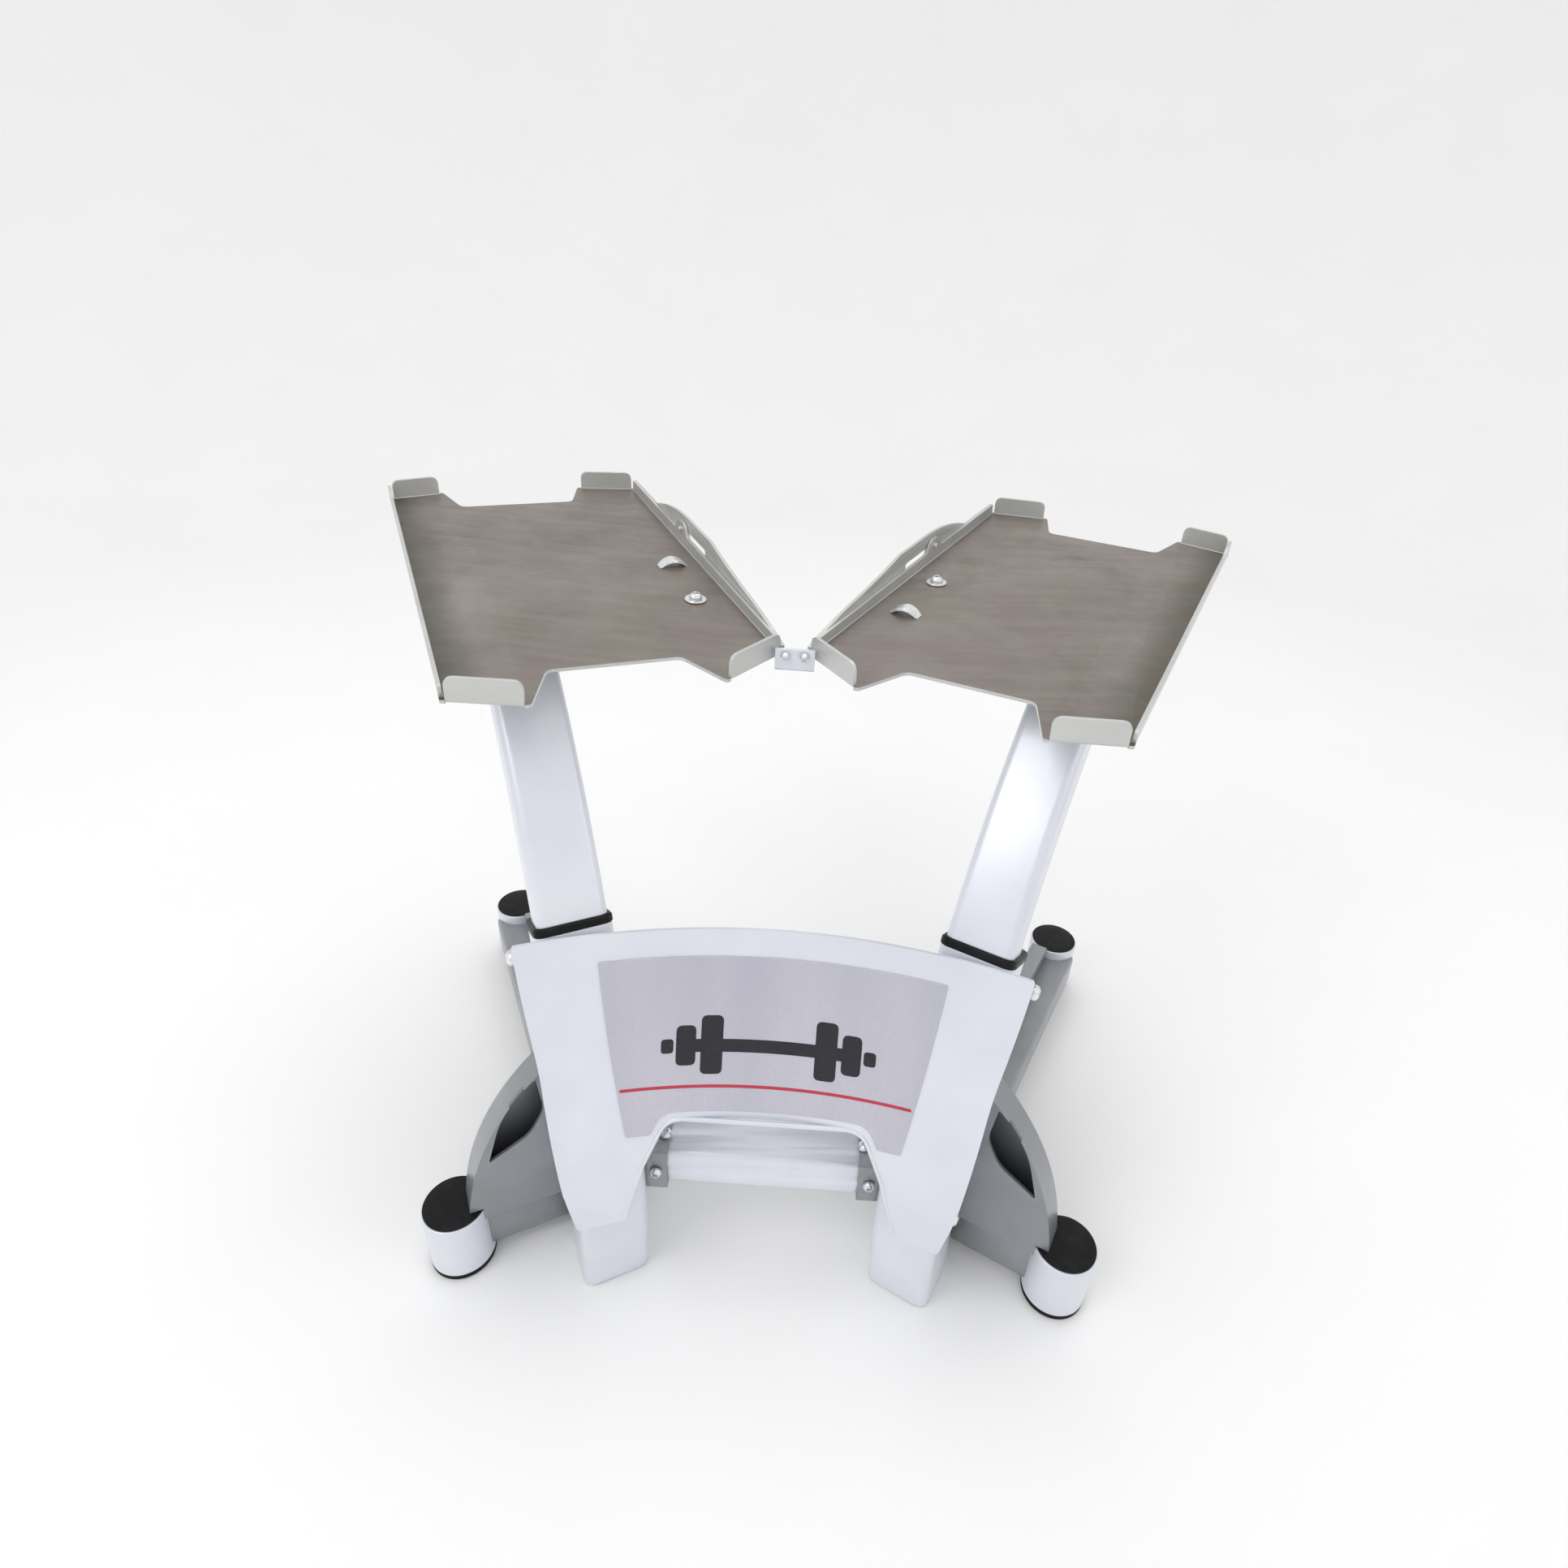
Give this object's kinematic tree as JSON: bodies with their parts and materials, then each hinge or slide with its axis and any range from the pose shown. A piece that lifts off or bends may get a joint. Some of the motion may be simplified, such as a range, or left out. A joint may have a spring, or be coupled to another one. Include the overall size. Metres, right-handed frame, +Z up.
{
  "type": "dumbbell rack",
  "caption": "Free-standing dumbbell rack with two splayed lipped trays on bowed posts, round feet, gussets, a crossbar and an arched front panel.",
  "frame": {"origin": "on the floor, at the middle of the object's box", "axes": "+Z up; the front panel faces -Y; +X is the right-hand side seen from the front; the two halves mirror each other about X = 0"},
  "size_m": [0.9056, 0.6165, 0.6269],
  "materials": {
    "silver_paint": "gloss silver-white powder coat",
    "grey_paint": "satin silver-grey powder coat",
    "tray_steel": "silver-brown metallic coat, streaked and worn on the floor",
    "label_metal": "brushed",
    "black_plastic": "semi-matte moulded",
    "rubber": "matte",
    "fastener": "bright zinc"
  },
  "bodies": {
    "root": {"tray_r": "tray_steel", "side_plate_r": "grey_paint", "head_plate_r": "grey_paint", "side_bolt_r": "fastener", "tray_clip_r": "fastener", "tray_bolt_r": "fastener", "upright_r": "silver_paint", "shoe_r": "silver_paint", "post_r": "silver_paint", "collar_r": "black_plastic", "rear_leg_r": "grey_paint", "outrigger_r": "grey_paint", "gusset_front_r": "grey_paint", "gusset_rear_r": "grey_paint", "panel_bolt_top_r": "fastener", "panel_bolt_low_r": "fastener", "foot_front_r": "silver_paint", "cap_front_r": "black_plastic", "pad_front_r": "rubber", "foot_rear_r": "silver_paint", "cap_rear_r": "black_plastic", "pad_rear_r": "rubber", "crossbar_sleeve_r": "grey_paint", "crossbar_screw_top_r": "fastener", "crossbar_screw_front_r": "fastener", "link_bolt_r": "fastener", "tray_l": "tray_steel", "side_plate_l": "grey_paint", "head_plate_l": "grey_paint", "side_bolt_l": "fastener", "tray_clip_l": "fastener", "tray_bolt_l": "fastener", "upright_l": "silver_paint", "shoe_l": "silver_paint", "post_l": "silver_paint", "collar_l": "black_plastic", "rear_leg_l": "grey_paint", "outrigger_l": "grey_paint", "gusset_front_l": "grey_paint", "gusset_rear_l": "grey_paint", "panel_bolt_top_l": "fastener", "panel_bolt_low_l": "fastener", "foot_front_l": "silver_paint", "cap_front_l": "black_plastic", "pad_front_l": "rubber", "foot_rear_l": "silver_paint", "cap_rear_l": "black_plastic", "pad_rear_l": "rubber", "crossbar_sleeve_l": "grey_paint", "crossbar_screw_top_l": "fastener", "crossbar_screw_front_l": "fastener", "link_bolt_l": "fastener", "crossbar": "silver_paint", "panel": "silver_paint", "label_plate": "label_metal", "link_plate": "silver_paint"}
  },
  "joints": []
}
